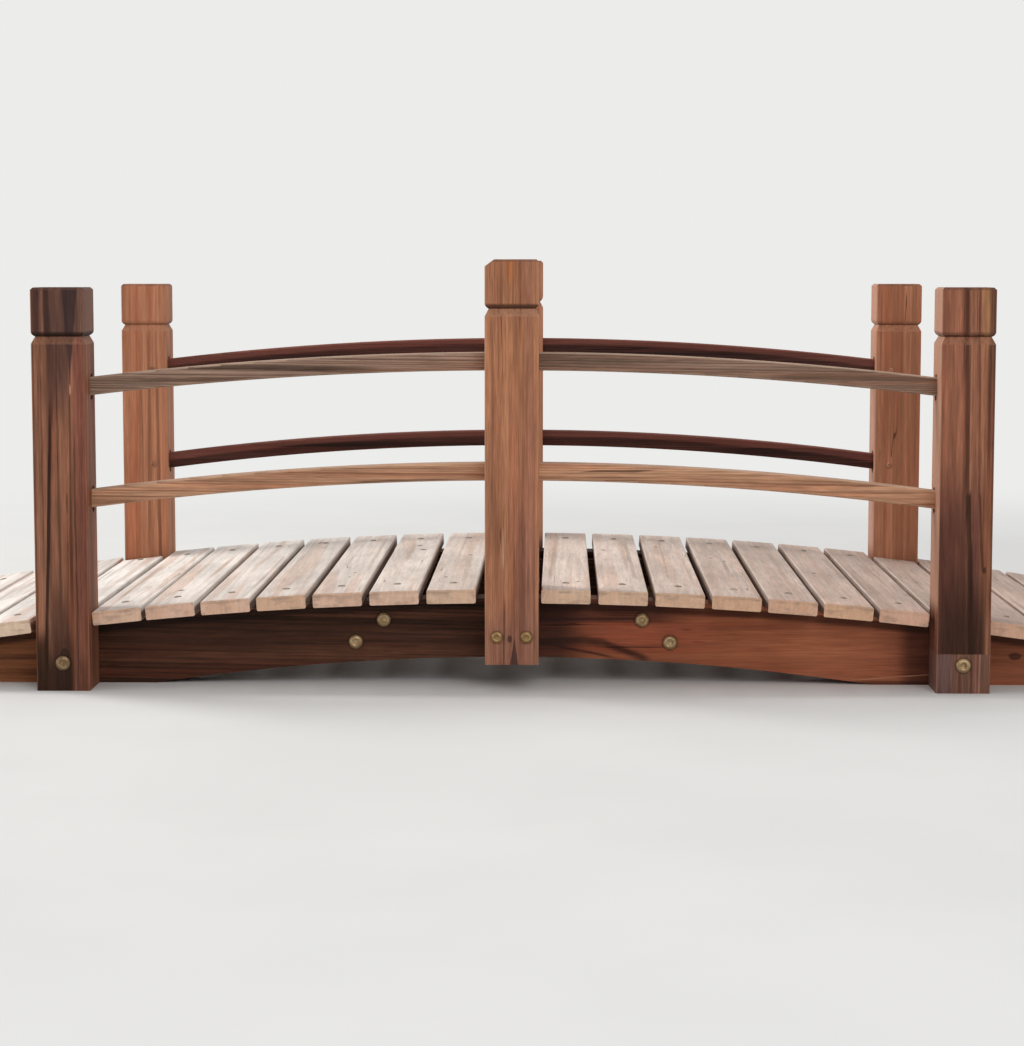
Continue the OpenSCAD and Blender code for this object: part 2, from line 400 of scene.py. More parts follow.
    def fibres(self, tone):
        """Fine fibres, and patches that weathered a little differently."""
        look = self.look
        fleck = self.stretched(45, 4.5, detail=2.0, rough=0.6)
        for noise, depth in ((self.fibre, 0.2), (self.strand, 0.13), (fleck, 0.14)):
            depth *= look.grain
            self.shade(1.0, self.ramp(noise, 0.25, 0.75, 1 - depth, 1 + depth))
        patchy = self.stretched(160, 50, detail=3.0)
        self.shade(1.0, self.ramp(patchy, 0.25, 0.75, 0.84 * tone, 1.12 * tone))
        # Drying checks lie where a long, narrow noise passes through its middle
        split = self.math("ABSOLUTE", self.minus(self.stretched(300, 5, detail=0.0), 0.5))
        rare = self.ramp(self.stretched(150, 14, detail=1.0), 0.6, 0.68)
        self.crack = self.times(self.ramp(split, 0.016, 0.004), rare)
        self.blend(self.crack, look.char, 0.75)

    def ends_and_edges(self):
        """End grain takes more stain, and eased edges are rubbed lighter."""
        look = self.look
        end_grain = self.ramp(self.facing[0], 0.5, 0.7)
        self.blend(end_grain, look.end, look.end_amount)
        sawn = self.noise(self.vector("MULTIPLY", self.drift, (1 / 40, 1 / 3.6, 1 / 16)), detail=3.0)
        blotch = self.noise(self.vector("MULTIPLY", self.drift, (1 / 40, 1 / 18, 1 / 9)), detail=2.0)
        self.shade(end_grain, self.ramp(sawn, 0.3, 0.7, 0.92, 1.05))
        self.blend(self.times(end_grain, self.ramp(blotch, 0.48, 0.7, 0.0, 0.5)), look.dark)
        # Painted sunlight on the side that local Z points to: the posts' left sides and the rails' tops
        if look.faded:
            faded = self.ramp(self.towards[2], 0.35, 0.8)
            faded = self.times(faded, self.ramp(self.parts[0], look.faded_from, look.faded_from + 20))
            self.blend(self.times(faded, self.ramp(self.strand, 0.2, 0.8, 0.5, 0.75)), look.faded)
        # Painted shade on a board's long sides, and a painted shadow line on its ends
        if look.side:
            self.board_rim(end_grain, blotch)
        flat = self.math("MAXIMUM", self.facing[0], self.math("MAXIMUM", self.facing[1], self.facing[2]))
        rubbed = self.times(self.ramp(flat, 0.985, 0.9), self.ramp(self.strand, 0.1, 0.7))
        rubbed = self.times(rubbed, self.ramp(self.facing[0], 0.6, 0.3))
        self.blend(rubbed, look.worn, look.wear)

    def board_rim(self, end_grain, blotch):
        """Painted shade on a board's sides under a light edge, and a broken painted shadow line near the top
        of its ends.
        """
        top = BOARD_THICK / 2 / MM
        side = self.ramp(self.facing[1], 0.8, 0.97)
        edge = top - LIGHT_EDGE
        low = self.ramp(self.times_plus(self.strand, 3.0, self.parts[2]), edge + 3.0, edge - 2.0)
        self.blend(self.times(side, low), self.look.side, 0.9)
        line = self.minus(self.times_plus(blotch, 3.0, self.parts[2]), top - 1.2)
        line = self.ramp(self.math("ABSOLUTE", line), 2.0, 0.2)
        line = self.times(line, self.ramp(blotch, 0.35, 0.65, 0.05, 0.55))
        self.blend(line, self.look.dark, end_grain)

    def groove(self, bottom):
        """The roll over a groove's bottom gets painted shade, and the slope under it is rubbed lighter,
        partly wear and partly painted light where it faces up.
        """
        above = self.minus(self.parts[0], bottom)
        sloping = self.ramp(self.facing[0], 0.05, 0.25)
        roll = self.times(self.ramp(above, -0.4, 0.4), self.ramp(above, GROOVE_ROLL, 0.5 * GROOVE_ROLL))
        # Painted shade on the roll's underside
        painted_roll_shade = self.times(self.times(roll, sloping), self.look.groove_amount)
        self.blend(painted_roll_shade, self.look.char)
        # The lighter slope is partly wear and partly painted light on a face turned up
        slope = self.ramp(above, -GROOVE_SLOPE - 0.5, -GROOVE_SLOPE + 0.5)
        slope = self.times(self.ramp(above, 0.2, -0.6), slope)
        rubbed = self.times(slope, self.ramp(self.strand, 0.1, 0.8, 0.05, 0.4))
        self.blend(rubbed, self.look.worn, sloping)

    def arch_depth(self, centre, radius):
        """The depth under an arched top edge of that radius round centre, made a little uneven."""
        away = self.vector("MULTIPLY", self.vector("SUBTRACT", self.point, tuple(centre)), (1, 0, 1))
        depth = self.minus(radius, self.vector("LENGTH", away))
        return self.times_plus(self.strand, 3.0, self.minus(depth, 1.5))

    def painted_crest_light(self, centre, radius):
        """Painted light on the upper third under an arched top edge, and painted shade on the wood below it.
        """
        depth = self.arch_depth(centre, radius)
        self.blend(self.ramp(depth, 8.5, 5.5), self.look.light, 0.6)
        self.blend(self.ramp(depth, 6.5, 10.0), self.look.char, 0.6)

    def painted_overhang_shade(self, centre, radius):
        """Painted shade in a band a little under an arched top edge of that radius round centre, where the
        deck boards overhang.
        """
        depth = self.arch_depth(centre, radius)
        stripe = self.times(self.ramp(depth, 3.0, 6.0), self.ramp(depth, 17.0, 11.0))
        self.blend(stripe, self.look.char, 0.75)

    def stains(self, stains):
        """Dark halos where metal weeps into the wood."""
        for spot, reach in stains:
            away = self.vector("LENGTH", self.vector("SUBTRACT", self.point, tuple(spot)))
            away = self.times_plus(self.strand, 0.5 * reach, away)
            halo = self.ramp(away, 1.5 * reach, 0.9 * reach)
            self.blend(halo, self.look.char, 0.6)

    def done(self):
        relief = self.times(self.line, self.look.relief)
        for noise, depth in ((self.fibre, 0.25), (self.strand, 0.3), (self.crack, -0.7)):
            relief = self.times_plus(noise, depth, relief)
        bump = self.add("Bump", {"Height": relief, "Strength": 0.8, "Distance": MM})
        dull = self.ramp(self.strand, 0.2, 0.8, 0.5, 0.72)
        dull = self.times_plus(self.line, -0.12, dull)
        shader = self.add("BsdfPrincipled", {
            "Base Color": self.colour,
            "Roughness": dull,
            "Normal": bump.outputs[0],
            "Specular IOR Level": SHINE,
        })
        return self.surface(shader.outputs[0])


def timber(name, look, place, pith, tilt=(0.0, 0.0), knots=(), streaks=(), stains=(), tone=1.0,
           groove=None, arch=None):
    """Solid wood for one piece.

    pith is the ring centre's place across the piece and tilt its slope, in the local frame.
    A knot is (place, size, axis that it runs along), and a stain is (place, reach).
    groove is the place of a groove along the piece, and arch the centre and the radius of its top edge,
    along which light and shade are painted.
    """
    wood = Timber(name, look, place)
    wood.ground()
    wood.rings(pith, tilt, knots)
    wood.scorch()
    for number, mark in enumerate(streaks):
        wood.streak(mark, number)
    wood.fibres(tone)
    wood.knots(knots)
    wood.ends_and_edges()
    if groove is not None:
        wood.groove(groove)
    # A rail with a painted crest gets painted light over painted shade; the stringers get painted shade
    # under the deck boards' overhang
    if arch is not None and look.two_tone:
        wood.painted_crest_light(*arch)
    elif arch is not None:
        wood.painted_overhang_shade(*arch)
    wood.stains(stains)
    return wood.done()


def dress(node, *wood, **more):
    """Gives a CAD node its own timber."""
    material = timber(f"{node}_wood", *wood, **more)
    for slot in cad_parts[node].material_slots:
        slot.material = material


def box_of(node):
    """The middle and the size of a CAD node."""
    low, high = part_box(node)
    return (low + high) / 2, high - low


# Sizes read from the CAD parts

_, post_size = box_of("post_front_mid")
end_post_middle, _ = box_of("post_front_right")
POST_SIDE = post_size.x
POST_X = end_post_middle.x
POST_FACE_Y = abs(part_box("post_front_mid")[0].y)
POST_INNER_Y = POST_FACE_Y - POST_SIDE
STRINGER_THICK = box_of("stringer_front_left")[1].y
STRINGER_Y = POST_INNER_Y - STRINGER_THICK / 2
SPLICE_INNER_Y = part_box("splice_rear")[0].y
BOARD_COUNT = sum(name.startswith("deck_board_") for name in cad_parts)
BOARD_THICK = box_of(f"deck_board_{(BOARD_COUNT + 1) // 2:02d}")[1].z
SIDES = {"front": -1, "rear": 1}
ENDS = ("left", "mid", "right")
HALVES = {"left": -1, "right": 1}
# Places of the bolts, in millimetres: from the middle of the bridge, and above the ground
END_BOLT_Z = 32.5
MID_BOLT_X, MID_BOLT_Z = 17.0, 64.0
SPLICE_BOLTS = ((152.0, 76.0), (185.0, 49.5))
HEAD_RADIUS = 8.6
# The middle posts' bolts are smaller than the others
MID_BOLT_SIZE = 0.8
# A rail's height, and its screws: how far they lie inside a post's side, and at an end post under
# the rail's middle, in millimetres
RAIL_HEIGHT = 21.0
RAIL_SCREW_INSET = 20.0
RAIL_SCREW_DROP = 2.0
RAIL_SCREW_SIZE = 0.82


# Marks of the posts: offsets are towards the left of the photograph, lengths are from the middle up

# A band over a post's whole face, the limits of the left post's top and those of the right post's base
WHOLE_FACE = (0.0, 45.0)
TOP_BLOCK = {"start": 176, "fade": 2}
POST_BASE = {"end": -187.5, "fade": 1.0}
LEFT_POST_MARKS = [
    band(20.8, 7.4, (146, 102, 80), 0.55, start=-170, end=182, fade=5, soft=2),
    band(0.5, 12.5, (88, 61, 55), 0.85, start=95, end=225, fade=45, soft=2.5),
    band(-23.0, 6.5, (134, 80, 68), 0.6, end=182, fade=4),
    band(20.0, 0.9, (112, 58, 42), 0.7, start=-60, end=200, fade=20),
    band(2.5, 10.5, (72, 48, 40), 0.75, end=-110, fade=50, soft=4, wave=3),
    band(12.5, 2.0, (34, 22, 18), 0.95, slope=-0.033, end=95, fade=30, wave=0.8),
    band(-17.5, 0.8, (44, 30, 24), 0.7, end=60),
    band(-8.0, 0.5, (38, 25, 21), 0.8, start=-26, end=-4, fade=4, soft=0.5, wave=0.4),
    band(-8.0, 0.5, (38, 25, 21), 0.8, start=-70, end=-60, fade=3, soft=0.5, wave=0.4),
    band(-13.5, 0.8, (212, 160, 122), 0.8, start=111, end=121, fade=3, soft=0.5, wave=0.2),
    band(9.5, 22.0, (42, 26, 17), 0.95, end=-182, fade=32, soft=4, wave=4),
    band(24.5, 8.0, (48, 30, 18), 0.8, end=-170, fade=14, soft=2),
    band(-23.5, 2.8, (146, 94, 68), 0.7, end=-150, fade=30, soft=1.6),
    band(-23.5, 5.0, (70, 44, 32), 0.5, end=-195, fade=12, soft=2),
    band(*WHOLE_FACE, (98, 70, 61), 0.65, **TOP_BLOCK),
    band(24.5, 3.4, (70, 45, 40), 0.85, **TOP_BLOCK),
    band(17.6, 0.9, (156, 114, 92), 0.6, **TOP_BLOCK),
    band(12.2, 2.8, (60, 38, 36), 0.85, **TOP_BLOCK),
    band(-27.5, 4.0, (128, 94, 80), 0.6, **TOP_BLOCK),
    band(-13.1, -10.8, (58, 45, 47), 0.9, slope=-0.004, grow=0.085, wave=0.4),
    # Painted shade along the eased left edge
    band(28.8, 1.0, (50, 34, 28), 0.6),
]
RIGHT_POST_MARKS = [
    band(18.0, 12.0, (152, 97, 74), 0.4, start=-20, soft=3),
    band(15.0, 16.5, (82, 47, 40), 0.9, end=4, fade=50, soft=2.5, wave=1.5),
    band(-11.5, 4.5, (98, 58, 52), 0.75, end=0, fade=45, soft=2),
    band(-26.5, 6.0, (122, 76, 54), 0.7, end=15, fade=50, soft=2),
    band(-17.0, 5.0, (166, 112, 84), 0.5, start=20, fade=45, soft=2),
    # Darker towards the bottom; where it wraps onto the left side face it is painted shade under the deck
    band(4.5, 26.5, (50, 31, 22), 1.0, end=-108, fade=58, soft=5, wave=5),
    band(-27.0, 3.0, (156, 108, 84), 0.6, end=-140, fade=25, soft=1.5),
    band(-20.0, 4.0, (178, 130, 88), 0.5, start=170, fade=12, soft=4),
    band(-0.8, 2.6, (70, 41, 32), 0.9, slope=0.017, start=0, fade=6, soft=1.5, wave=0.8),
    band(-2.0, 3.2, (44, 25, 17), 0.95, slope=0.036, end=0, fade=6, soft=1.8, wave=0.8),
    band(-14.9, 1.4, (84, 46, 36), 0.7, slope=0.013, start=0, fade=6),
    band(-15.3, 1.5, (64, 34, 24), 0.8, slope=0.048, start=-90, end=0, fade=6),
    # A dark line along the eased right edge, partly char and partly painted shade
    band(-29.6, 1.2, (52, 34, 28), 0.6),
    band(*WHOLE_FACE, (114, 80, 66), 1.0, **POST_BASE),
    band(22.0, 9.0, (88, 68, 68), 0.7, **POST_BASE, soft=4),
    band(4.0, 1.8, (78, 50, 40), 0.7, end=-206, fade=8),
    band(-8.5, 1.4, (84, 54, 44), 0.7, end=-200, fade=8),
    band(-12.5, 1.4, (156, 92, 80), 0.55, slope=0.01, **POST_BASE, soft=1.4),
    band(-17.0, 1.2, (88, 56, 46), 0.7, **POST_BASE),
    band(-21.8, 1.1, (168, 132, 112), 0.6, slope=-0.015, **POST_BASE),
]
MID_POST_MARKS = [
    band(*WHOLE_FACE, (188, 128, 92), 0.35, start=70, end=172, fade=50),
    band(-16.0, 11.0, (118, 78, 72), 0.45, start=-190, end=-60, fade=40, soft=5),
    band(*WHOLE_FACE, (124, 86, 76), 0.55, end=-178, fade=28),
    band(-9.5, 1.1, (116, 70, 50), 0.6, start=150),
    band(1.5, 4.5, (172, 102, 50), 0.5, start=208, end=236, fade=10, soft=3),
    band(-20.0, 5.0, (172, 120, 98), 0.4),
    band(-10.1, -30.7, (62, 42, 37), 0.95, slope=-0.033, grow=-0.152, wave=0.2, soft=0.6),
    band(8.8, 1.0, (76, 48, 38), 0.8, end=-160, fade=15),
    band(9.8, 0.8, (210, 172, 150), 0.65, start=-118, end=-80, fade=8, soft=0.6, wave=0.4),
    band(22.0, 1.4, (124, 82, 62), 0.4, start=-60, end=160, fade=60),
    band(-26.0, 1.2, (128, 84, 64), 0.4, end=40, fade=60),
]
POST_KNOTS = {
    "post_front_left": [((-192, 0, -2.4), 4.5, 1)],
    "post_front_right": [((-90, 0, -22.0), 2.0, 1)],
    "post_front_mid": [((-203, 0, 2.4), 2.4, 1)],
}
POST_MARKS = {
    "post_front_left": LEFT_POST_MARKS,
    "post_front_right": RIGHT_POST_MARKS,
    "post_front_mid": MID_POST_MARKS,
}
POST_TONES = {
    "post_front_right": 1.18,
    "post_front_mid": 1.02,
    "post_rear_left": 1.07,
    "post_rear_right": 0.94,
}
# Ring centres that put broad arches on the left post's face and straight grain on the others
POST_PITHS = {
    "post_front_left": (52.0, -8.0),
    "post_front_right": (14.0, 120.0),
    "post_front_mid": (8.0, -110.0),
}


def post_bolts(end):
    """Bolts of a post: places along the bridge from its middle, and heights, in millimetres."""
    return [(0, END_BOLT_Z)] if end != "mid" else [(-MID_BOLT_X, MID_BOLT_Z), (MID_BOLT_X, MID_BOLT_Z)]


def random_marks(rng, look, reach, count, longest):
    """Dark and red bands at random places across a piece."""
    marks = []
    for _ in range(count):
        colour = rng.choice((look.char, look.dark, look.dark, look.red, look.light))
        start = rng.uniform(-longest, longest * 0.4)
        mark = Streak(rng.uniform(-reach, reach), rng.uniform(0.7, 3.2), colour, rng.uniform(0.4, 0.8),
                      slope=rng.uniform(-0.012, 0.012), fade=50)
        marks.append(mark._replace(start=start, end=start + rng.uniform(0.5, 2.0) * longest))
    return marks


def dress_posts():
    for side, y_sign in SIDES.items():
        for end in ENDS:
            node = f"post_{side}_{end}"
            middle, size = box_of(node)
            rng = draws_for(node)
            front_look = {"left": END_POST, "mid": MID_POST, "right": RIGHT_POST}[end]
            look = front_look if side == "front" else REAR_POST_PAINTED_LIGHT
            stains = []
            for x, z in post_bolts(end):
                # Local X is up, local Y across the bridge and local Z to the left of the photograph
                reach = HEAD_RADIUS * (MID_BOLT_SIZE if end == "mid" else 1.0) + 1.0
                stains.append(((z - middle.z / MM, y_sign * size.y / 2 / MM, -x), reach))
            tilt = (rng.uniform(-0.04, 0.04), rng.uniform(-0.03, 0.03))
            pith = POST_PITHS.get(node, (rng.uniform(-20, 20), rng.choice((-1, 1)) * rng.uniform(60, 120)))
            marks = POST_MARKS.get(node) or random_marks(rng, look, 28, 5, 233)
            place = Place(middle, UP, (-1, 0, 0))
            tone = POST_TONES.get(node, rng.uniform(0.96, 1.04))
            groove = size.z / 2 / MM - GROOVE_DROP
            dress(node, look, place, pith, tilt, POST_KNOTS.get(node, ()), marks, stains, tone, groove)


# Marks of the stringers, in millimetres from the middle of the bridge and above the ground

STRINGER_KNOT = (590, 34, 4.0)
# A band over a stringer's whole height
WHOLE_HEIGHT = (50.0, 90.0)
DARK_STRINGER_MARKS = [
    band(*WHOLE_HEIGHT, (146, 92, 60), 0.9, start=534, end=900, fade=8),
    band(30.0, 3.0, (76, 46, 34), 0.6, start=534, end=900, fade=8),
]
STRINGER_MARKS = [
    band(*WHOLE_HEIGHT, (168, 102, 74), 0.5, start=330, end=455, fade=25),
    band(70.0, 90.0, (60, 36, 29), 0.95, start=-60, end=76, fade=24),
    band(58.0, 13.0, (168, 88, 64), 0.45, start=92, end=240, fade=25, soft=6, wave=3),
    # Painted shadow beside the end post
    band(*WHOLE_HEIGHT, (72, 40, 32), 0.8, start=458, end=534, fade=11),
    band(*WHOLE_HEIGHT, (160, 98, 70), 0.6, start=534, end=900, fade=8),
    band(49.3, 4.3, (38, 24, 20), 0.85, slope=0.03, start=-60, end=85, fade=8, soft=3.2, wave=0.4),
    band(61.9, 4.3, (38, 24, 20), 0.85, slope=-0.12, start=83, end=106, fade=8, soft=3.2, wave=0.4),
    band(89.5, 4.0, (38, 24, 20), 0.85, slope=-0.38, start=104, end=160, fade=8, soft=3.2, wave=0.4),
    band(54.8, 1.5, (44, 26, 22), 0.8, slope=-0.195, start=50, end=118, fade=12),
    band(77.0, 1.3, (36, 22, 18), 0.85, start=20, end=148, fade=12),
    # A dark band along the top, partly dark wood and partly painted shade under the deck boards' overhang
    band(86.0, 14.0, (58, 34, 30), 0.7, start=-60, end=190, fade=30, soft=3, wave=3),
    band(65.0, 1.2, (92, 50, 38), 0.6, start=199, end=210, fade=5),
    band(42.0, 18.0, (172, 104, 72), 0.5, start=225, end=400, fade=50, soft=9, wave=4),
    band(-25.5, 0.6, (196, 140, 110), 0.6, slope=0.077, start=405, end=500, fade=14, soft=0.5, wave=0.5),
    band(0.0, 4.0, (54, 32, 26), 0.7, start=350, end=520, fade=25, soft=2),
]


def arc_centre(first, second):
    """The height of the centre of an arc over the middle of the bridge, from two places (x, z) on it."""
    (x1, z1), (x2, z2) = first, second
    return (x2 ** 2 + z2 ** 2 - x1 ** 2 - z1 ** 2) / (2 * (z2 - z1))


def deck_arch():
    """The height of the centre of the deck's arch, from the places of its middle board and its last one."""
    top, _ = box_of(board_name((BOARD_COUNT + 1) // 2))
    end, _ = box_of(board_name(BOARD_COUNT))
    return arc_centre((top.x, top.z), (end.x, end.z))


def rail_arch(node, middle):
    """The centre and the radius of a rail's top edge, in the rail's own frame and in millimetres."""
    low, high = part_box(node)
    inner = (POST_SIDE / 2, high.z)
    outer = (POST_X - POST_SIDE / 2, low.z + RAIL_HEIGHT * MM)
    centre_z = arc_centre(inner, outer)
    radius = math.hypot(inner[0], inner[1] - centre_z)
    return (Vector((0, middle.y, centre_z)) - middle) / MM, radius / MM


def local_mark(mark, middle, mirror):
    """A mark given from the middle of the bridge and the ground, moved to a stringer's own middle."""
    across, along = middle.z / MM, middle.x / MM * mirror
    offset = mark.offset + mark.slope * along - across
    start, end = mark.start - along, mark.end - along
    if mirror < 0:
        start, end = -end, -start
    return mark._replace(offset=offset, slope=mark.slope * mirror, start=start, end=end)


def dress_stringers():
    centre_z = deck_arch()
    for side, y_sign in SIDES.items():
        for half, x_sign in HALVES.items():
            node = f"stringer_{side}_{half}"
            middle, size = box_of(node)
            rng = draws_for(node)
            dark = (half == "left") == (side == "front")
            look = STRINGER_DARK if dark else STRINGER_RED
            pith = (26.0 * y_sign, -80.0) if dark else (70.0 * y_sign, -24.0)
            stains = []
            for x, z in SPLICE_BOLTS:
                local = (x_sign * x - middle.x / MM, y_sign * size.y / 2 / MM, z - middle.z / MM)
                stains.append((local, HEAD_RADIUS + 1.0))
            if dark:
                knots = []
                marks = [local_mark(mark, middle, x_sign) for mark in DARK_STRINGER_MARKS]
                marks += random_marks(rng, look, 50, 8, 370)
            else:
                x, z, radius = STRINGER_KNOT
                knots = [((x_sign * x - middle.x / MM, 0, z - middle.z / MM), radius, 1)]
                marks = [local_mark(mark, middle, x_sign) for mark in STRINGER_MARKS]
            place = Place(middle, (1, 0, 0), UP)
            arch = (Vector((0, 0, centre_z)) - middle) / MM, (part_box(node)[1].z - centre_z) / MM
            dress(node, look, place, pith, (0.0, 0.02 * x_sign), knots, marks, stains, arch=arch)
        node = f"splice_{side}"
        middle, _ = box_of(node)
        dress(node, SPLICE, Place(middle, (1, 0, 0), UP), (20.0, 60.0))


def dress_rails():
    for level, front_look in (("upper", UPPER_RAIL), ("lower", LOWER_RAIL)):
        for side in SIDES:
            look = front_look if side == "front" else REAR_RAIL_PAINTED_SHADE
            for half in HALVES:
                node = f"{level}_rail_{side}_{half}"
                middle, _ = box_of(node)
                rng = draws_for(node)
                pith = (rng.uniform(-60, 60), rng.choice((-1, 1)) * rng.uniform(30, 70))
                marks = random_marks(rng, look, 12, 4, 240)
                place = Place(middle, (1, 0, 0), UP)
                arch = rail_arch(node, middle) if look.two_tone else None
                tilt = (0.0, rng.uniform(-0.02, 0.02))
                tone = rng.uniform(0.96, 1.04)
                dress(node, look, place, pith, tilt, streaks=marks, tone=tone, arch=arch)


def board_name(number):
    return f"deck_board_{number:02d}"


def board_slope(number):
    """How far a deck board leans along the bridge, from the line between its neighbours' middles."""
    before, _ = box_of(board_name(number - 1))
    after, _ = box_of(board_name(number + 1))
    return math.atan2(after.z - before.z, after.x - before.x)


def board_pose(number):
    """The middle of a deck board and its upward direction. An end board leans as its neighbours go on."""
    middle, _ = box_of(board_name(number))
    if number == 1:
        slope = 2 * board_slope(2) - board_slope(3)
    elif number == BOARD_COUNT:
        slope = 2 * board_slope(BOARD_COUNT - 1) - board_slope(BOARD_COUNT - 2)
    else:
        slope = board_slope(number)
    return middle, Vector((-math.sin(slope), 0, math.cos(slope)))


def board_look(number, x, honey):
    """A board's colours and tone.

    The boards get lighter towards the left end, painted sunlight from the left, and their tone rises
    near the middle of the bridge, painted light over the middle post's shade. Their ends are paler near
    the middle of the bridge and past the left posts. The first and the last board have no painted
    shade on their sides.
    """
    # Painted sunlight: the boards whiten and lose grain towards the left end
    painted_sun_share = 0.5 - 0.5 * max(-1.0, min(x / POST_X, 1.0))
    fresh, pale = 0.5 * (1 - painted_sun_share) ** 2, 0.88 * painted_sun_share ** 2
    central = max(0.0, 1 - abs(x) / (0.5 * POST_X))
    pale_end = 0.8 if x < -POST_X else 0.6 * central
    look = BOARD._replace(
        light=mixed(mixed(BOARD.light, FRESH, fresh), PAINTED_SUN_WHITE, pale),
        mid=mixed(mixed(BOARD.mid, FRESH, fresh), PAINTED_SUN_WHITE, pale),
        end=mixed(mixed(BOARD.end, HONEY, honey), PALE_END, pale_end),
        grain=BOARD.grain * (1 - 0.4 * painted_sun_share))
    if number in (1, BOARD_COUNT):
        look = look._replace(side=())
    # The tone rises with the painted sunlight, and near the middle with painted light over the middle post's
    # shade
    return look, 0.87 + 0.19 * painted_sun_share + 0.12 * central


def dress_boards():
    for number in range(1, BOARD_COUNT + 1):
        node = board_name(number)
        middle, up = board_pose(number)
        rng = draws_for(node)
        pith = (rng.uniform(-45, 45), rng.choice((-1, 1)) * rng.uniform(16, 90))
        tilt = (rng.uniform(-0.02, 0.02), rng.uniform(-0.04, 0.04))
        knots = []
        for _ in range(rng.choice((0, 0, 1, 1, 2))):
            knots.append(((rng.uniform(-280, 280), rng.uniform(-22, 22), 0), rng.uniform(1.6, 4.0), 2))
        stains = [((sign * STRINGER_Y / MM, 0, BOARD_THICK / 2 / MM), 5.0) for sign in (-1, 1)]
        marks = [mark._replace(axis=1, strength=0.5 * mark.strength)
                 for mark in random_marks(rng, BOARD, 26, 3, 250)]
        look, tone = board_look(number, middle.x, rng.uniform(0.0, 0.7))
        tone *= rng.uniform(0.95, 1.05)
        place = Place(middle, (0, 1, 0), up)
        dress(node, look, place, pith, tilt, knots, marks, stains, tone)


def screw_places(number):
    """Where the two screws of a deck board go, on its top, and the board's upward direction."""
    middle, up = board_pose(number)
    top = middle + up * BOARD_THICK / 2
    return [top + Vector((0, sign * STRINGER_Y, 0)) for sign in (-1, 1)], up


# Bolts, nuts and screws

def metal(name, bright, dark, rough):
    """Plated steel with a light tarnish and fine scratches."""
    g = Graph(bpy.data.materials.new(name))
    point = g.vector("SCALE", g.where(), scale=1 / MM)
    patch = g.noise(g.vector("SCALE", point, scale=1 / 7.0), detail=3.0, rough=0.6)
    speck = g.noise(g.vector("SCALE", point, scale=1 / 0.7), detail=2.0)
    scratch = g.noise(g.vector("MULTIPLY", point, (1 / 6.0, 1 / 0.3, 1 / 0.4)), detail=1.0)
    colour = g.mix(g.ramp(patch, 0.3, 0.7), srgb(*bright), srgb(*dark))
    colour = g.mix(1.0, colour, g.tint(g.ramp(speck, 0.3, 0.7, 0.9, 1.06)), "MULTIPLY")
    dull = g.times_plus(scratch, 0.12, g.ramp(patch, 0.3, 0.7, rough - 0.08, rough + 0.1))
    height = g.math("ADD", speck, g.times(scratch, 0.7))
    bump = g.add("Bump", {"Height": height, "Strength": 0.3, "Distance": 0.06 * MM})
    shader = g.add("BsdfPrincipled", {
        "Base Color": colour, "Roughness": dull, "Metallic": 0.8, "Normal": bump.outputs[0]})
    return g.surface(shader.outputs[0])


def from_nearest(angle, directions):
    """The angle from the nearest of so many evenly spaced directions, one of which is 0."""
    step = math.tau / directions
    return (angle + step / 2) % step - step / 2


def circles(*rings):
    """Round rings of a lathed piece, from pairs of radius and height."""
    return [(lambda angle, radius=radius: radius, height) for radius, height in rings]


def hexagon_of(across_flats):
    def outline(angle):
        return across_flats / 2 / math.cos(from_nearest(angle, 6))
    return outline


def cross_of(half_length, half_width):
    def outline(angle):
        off = from_nearest(angle, 4)
        reach = half_length / math.cos(off)
        return min(reach, half_width / max(abs(math.sin(off)), 1e-6))
    return outline


def lathe(bm, rings, segments, matrix):
    """A closed skin through rings of (outline, height) in millimetres, with a flat first and last ring."""
    loops = []
    for outline, height in rings:
        loop = []
        for i in range(segments):
            angle = 2 * math.pi * i / segments
            r = outline(angle)
            spot = Vector((r * math.cos(angle), r * math.sin(angle), height)) * MM
            loop.append(bm.verts.new(matrix @ spot))
        loops.append(loop)
    for lower, upper in zip(loops, loops[1:]):
        for i in range(segments):
            j = (i + 1) % segments
            bm.faces.new((lower[i], lower[j], upper[j], upper[i]))
    bm.faces.new(tuple(reversed(loops[0])))
    bm.faces.new(tuple(loops[-1]))


BOLT_HEAD = circles(
    (HEAD_RADIUS - 0.3, 0.0),
    (HEAD_RADIUS, 0.3),
    (HEAD_RADIUS, 1.0),
    (HEAD_RADIUS - 0.5, 1.9),
    (HEAD_RADIUS - 1.5, 2.8),
    (HEAD_RADIUS - 2.8, 3.5),
    (HEAD_RADIUS - 3.9, 3.8),
    (HEAD_RADIUS - 4.4, 3.7),
) + [(hexagon_of(6.6), 3.2), (hexagon_of(6.4), 0.8), (hexagon_of(2.0), 0.5)]
NUT = (
    circles((11.0, 0.0), (11.0, 1.4), (10.7, 1.6), (7.0, 1.6))
    + [(hexagon_of(12.6), 1.62), (hexagon_of(13.0), 2.0), (hexagon_of(13.0), 7.6)]
    + circles((6.4, 8.1), (4.1, 8.1), (3.9, 8.3), (3.9, 11.2), (3.2, 12.0))
)
DECK_SCREW = (
    circles((4.3, 0.0), (4.3, 0.35), (4.0, 0.8), (3.1, 1.05))
    + [(cross_of(2.3, 0.6), 1.1), (cross_of(2.0, 0.5), 0.3)]
)
RAIL_SCREW = (
    circles((5.2, 0.0), (5.2, 0.5), (4.9, 1.1), (3.9, 1.5))
    + [(hexagon_of(4.4), 1.4), (hexagon_of(4.0), 0.3)]
)


def on_face(point, outward, turn):
    """A matrix that puts a lathed piece on a face, with its axis outwards."""
    rotation = Vector(outward).to_track_quat("Z", "Y").to_matrix().to_4x4()
    return Matrix.Translation(point) @ rotation @ Matrix.Rotation(turn, 4, "Z")


